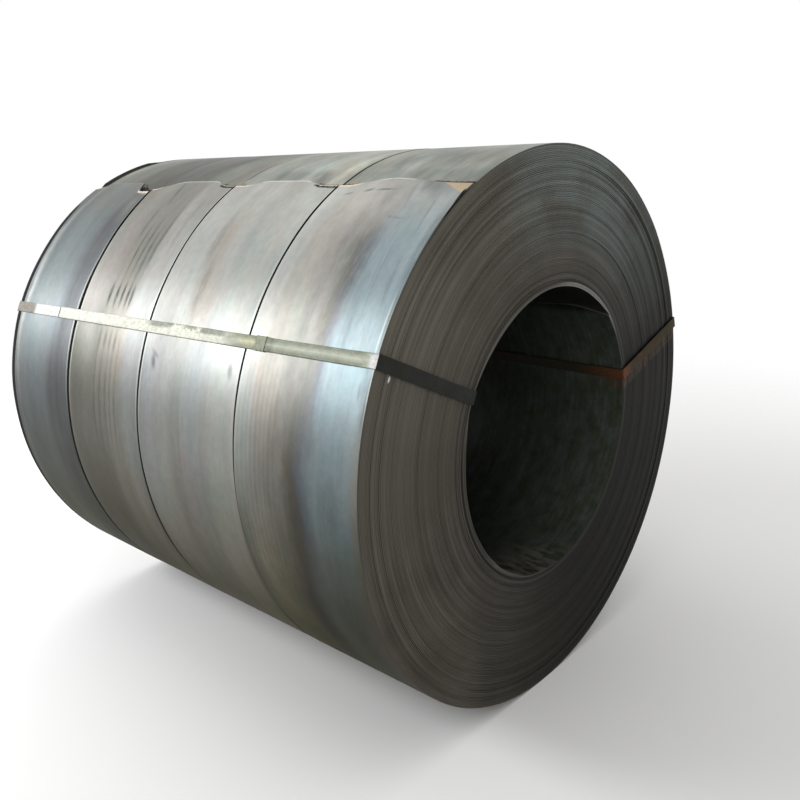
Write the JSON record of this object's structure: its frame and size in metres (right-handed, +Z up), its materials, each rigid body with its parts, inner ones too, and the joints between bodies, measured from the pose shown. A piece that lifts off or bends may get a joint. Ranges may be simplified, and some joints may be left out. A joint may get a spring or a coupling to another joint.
{
  "type": "steel coil",
  "caption": "Hot-rolled steel coil slit into side-by-side strips, lying on its round side, tied through the eye with flat steel straps.",
  "frame": {"origin": "middle of the underside of the bounding box, on the floor that the coil lies on", "axes": "+Z up; +Y along the coil's axis towards the far end; the near end faces -Y"},
  "size_m": [1.4438, 1.5206, 1.4417],
  "materials": {
    "coil_steel": "satin hot-rolled mill scale with blue and bronze heat tints, dark and dull on the turn ends",
    "strap_paint": "worn pale paint over dark rusting steel",
    "seal_steel": "dark oiled steel"
  },
  "bodies": {
    "root": {"strip_coil_1": "coil_steel", "strip_coil_2": "coil_steel", "strip_coil_3": "coil_steel", "strip_coil_4": "coil_steel", "eye_strap_left": "strap_paint", "eye_strap_right": "strap_paint", "strap_seal_left": "seal_steel", "strap_seal_right": "seal_steel"}
  },
  "joints": []
}
